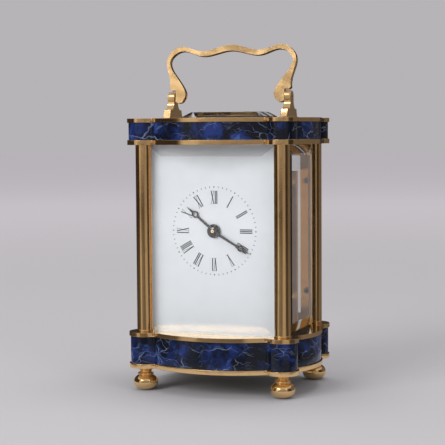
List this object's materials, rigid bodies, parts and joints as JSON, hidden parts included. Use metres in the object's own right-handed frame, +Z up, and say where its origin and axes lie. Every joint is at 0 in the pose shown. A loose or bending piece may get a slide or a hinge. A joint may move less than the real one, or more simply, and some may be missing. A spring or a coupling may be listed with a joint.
{
  "type": "miniature desk clock",
  "caption": "Key-wound miniature carriage clock with brass corner columns, bevelled glass, stone bands and a folding top handle.",
  "frame": {"origin": "bottom centre, on the plane that the four feet rest on", "axes": "+Z up, +X to the viewer's right, the dial faces -Y"},
  "size_m": [0.0546, 0.0468, 0.1007],
  "materials": {
    "polished_brass": "polished, lightly lacquered",
    "blue_stone": "polished sodalite-like stone with pale veins",
    "bevelled_glass": "clear, ground and polished bevels",
    "dial_enamel": "satin white enamel with black numerals",
    "black_hands": "gloss black",
    "movement_brass": "fine grained",
    "steel": "polished"
  },
  "bodies": {
    "case": {"bottom_plate": "polished_brass", "plinth_plate": "polished_brass", "cornice_plate": "polished_brass", "top_plate": "polished_brass", "foot_front_left": "polished_brass", "foot_front_right": "polished_brass", "foot_back_left": "polished_brass", "foot_back_right": "polished_brass", "pillar_front_left": "polished_brass", "pillar_front_right": "polished_brass", "pillar_back_left": "polished_brass", "pillar_back_right": "polished_brass", "handle_bracket_left": "polished_brass", "handle_bracket_right": "polished_brass", "handle_pins": "polished_brass", "case_screws": "polished_brass", "base_stone": "blue_stone", "canopy_stone": "blue_stone", "front_glass": "bevelled_glass", "left_glass": "bevelled_glass", "right_glass": "bevelled_glass", "top_glass": "bevelled_glass", "dial": "dial_enamel", "movement_front_plate": "movement_brass", "movement_back_plate": "movement_brass", "movement_pillars": "movement_brass", "movement_seats": "movement_brass", "click_spring": "movement_brass", "platform": "movement_brass", "potence": "movement_brass", "escapement_bridge": "movement_brass", "balance_cock": "movement_brass", "movement_screws": "steel", "platform_screws": "steel", "hairspring": "steel"},
    "handle": {"handle": "polished_brass"},
    "rear_door": {"door_frame": "polished_brass", "door_glass": "bevelled_glass", "door_pins": "polished_brass", "door_knob": "polished_brass"},
    "minute_work": {"minute_hand": "black_hands", "cannon_pinion": "steel"},
    "hour_work": {"hour_hand": "black_hands", "hour_wheel": "movement_brass"},
    "minute_wheel": {"minute_wheel": "movement_brass"},
    "set_arbor": {"set_arbor": "steel"},
    "winding": {"barrel_arbor": "steel", "ratchet_wheel": "movement_brass"},
    "click": {"click": "movement_brass"},
    "barrel": {"barrel": "movement_brass", "barrel_cap": "movement_brass", "mainspring": "steel"},
    "intermediate_wheel": {"intermediate_wheel": "movement_brass"},
    "center_wheel": {"center_wheel": "movement_brass"},
    "third_wheel": {"third_wheel": "movement_brass"},
    "contrate_wheel": {"contrate_wheel": "movement_brass"},
    "escape_wheel": {"escape_wheel": "movement_brass"},
    "lever": {"lever": "steel"},
    "balance": {"balance_wheel": "movement_brass"},
    "regulator": {"regulator": "steel"}
  },
  "joints": [
    {"name": "handle_fold", "type": "hinge", "parent": "case", "child": "handle", "pos_m": [0, 0, 0.0852], "axis": [1, 0, 0], "range_deg": [-98, 112]},
    {"name": "door_swing", "type": "hinge", "parent": "case", "child": "rear_door", "pos_m": [-0.0173, 0.0159, 0.0443], "axis": [0, 0, 1], "range_deg": [0, 105]},
    {"name": "minute_turn", "type": "hinge", "parent": "case", "child": "minute_work", "pos_m": [0, 0, 0.0467], "axis": [0, 1, 0], "continuous": true},
    {"name": "hour_turn", "type": "hinge", "parent": "case", "child": "hour_work", "pos_m": [0, 0, 0.0467], "axis": [0, 1, 0], "continuous": true},
    {"name": "minute_wheel_turn", "type": "hinge", "parent": "case", "child": "minute_wheel", "pos_m": [-0.00339, 0, 0.04331], "axis": [0, 1, 0], "continuous": true},
    {"name": "set_turn", "type": "hinge", "parent": "case", "child": "set_arbor", "pos_m": [-0.00733, 0, 0.04606], "axis": [0, 1, 0], "continuous": true},
    {"name": "winding_turn", "type": "hinge", "parent": "case", "child": "winding", "pos_m": [0, 0, 0.0314], "axis": [0, 1, 0], "continuous": true},
    {"name": "click_lift", "type": "hinge", "parent": "case", "child": "click", "pos_m": [-0.0046, 0, 0.0349], "axis": [0, -1, 0], "range_deg": [0, 8]},
    {"name": "contrate_turn", "type": "hinge", "parent": "case", "child": "contrate_wheel", "pos_m": [0.005, 0, 0.057], "axis": [0, 1, 0], "continuous": true},
    {"name": "third_turn", "type": "hinge", "parent": "case", "child": "third_wheel", "pos_m": [0.00036, 0, 0.05329], "axis": [0, 1, 0], "continuous": true},
    {"name": "center_turn", "type": "hinge", "parent": "case", "child": "center_wheel", "pos_m": [0, 0, 0.0467], "axis": [0, 1, 0], "continuous": true},
    {"name": "intermediate_turn", "type": "hinge", "parent": "case", "child": "intermediate_wheel", "pos_m": [-0.00248, 0, 0.04015], "axis": [0, 1, 0], "continuous": true},
    {"name": "barrel_turn", "type": "hinge", "parent": "case", "child": "barrel", "pos_m": [0, 0, 0.0314], "axis": [0, 1, 0], "continuous": true},
    {"name": "escape_turn", "type": "hinge", "parent": "case", "child": "escape_wheel", "pos_m": [0.005, -0.0005, 0.0644], "axis": [0, 0, 1], "continuous": true},
    {"name": "lever_swing", "type": "hinge", "parent": "case", "child": "lever", "pos_m": [0.0024, -0.0005, 0.0644], "axis": [0, 0, 1], "range_deg": [-4, 4]},
    {"name": "balance_swing", "type": "hinge", "parent": "case", "child": "balance", "pos_m": [-0.0012, -0.0005, 0.0644], "axis": [0, 0, 1], "range_deg": [-150, 150]},
    {"name": "regulator_turn", "type": "hinge", "parent": "case", "child": "regulator", "pos_m": [-0.0012, -0.0005, 0.0644], "axis": [0, 0, 1], "range_deg": [-25, 25]}
  ],
  "couplings": [
    {"joint": "hour_turn", "follows": "minute_turn", "ratio": 0.083333},
    {"joint": "minute_wheel_turn", "follows": "minute_turn", "ratio": -0.33333},
    {"joint": "set_turn", "follows": "minute_turn", "ratio": 1},
    {"joint": "third_turn", "follows": "contrate_turn", "ratio": -0.1},
    {"joint": "center_turn", "follows": "contrate_turn", "ratio": 0.01},
    {"joint": "intermediate_turn", "follows": "contrate_turn", "ratio": -0.0016667},
    {"joint": "barrel_turn", "follows": "contrate_turn", "ratio": 0.00027778},
    {"joint": "escape_turn", "follows": "contrate_turn", "ratio": 6}
  ]
}
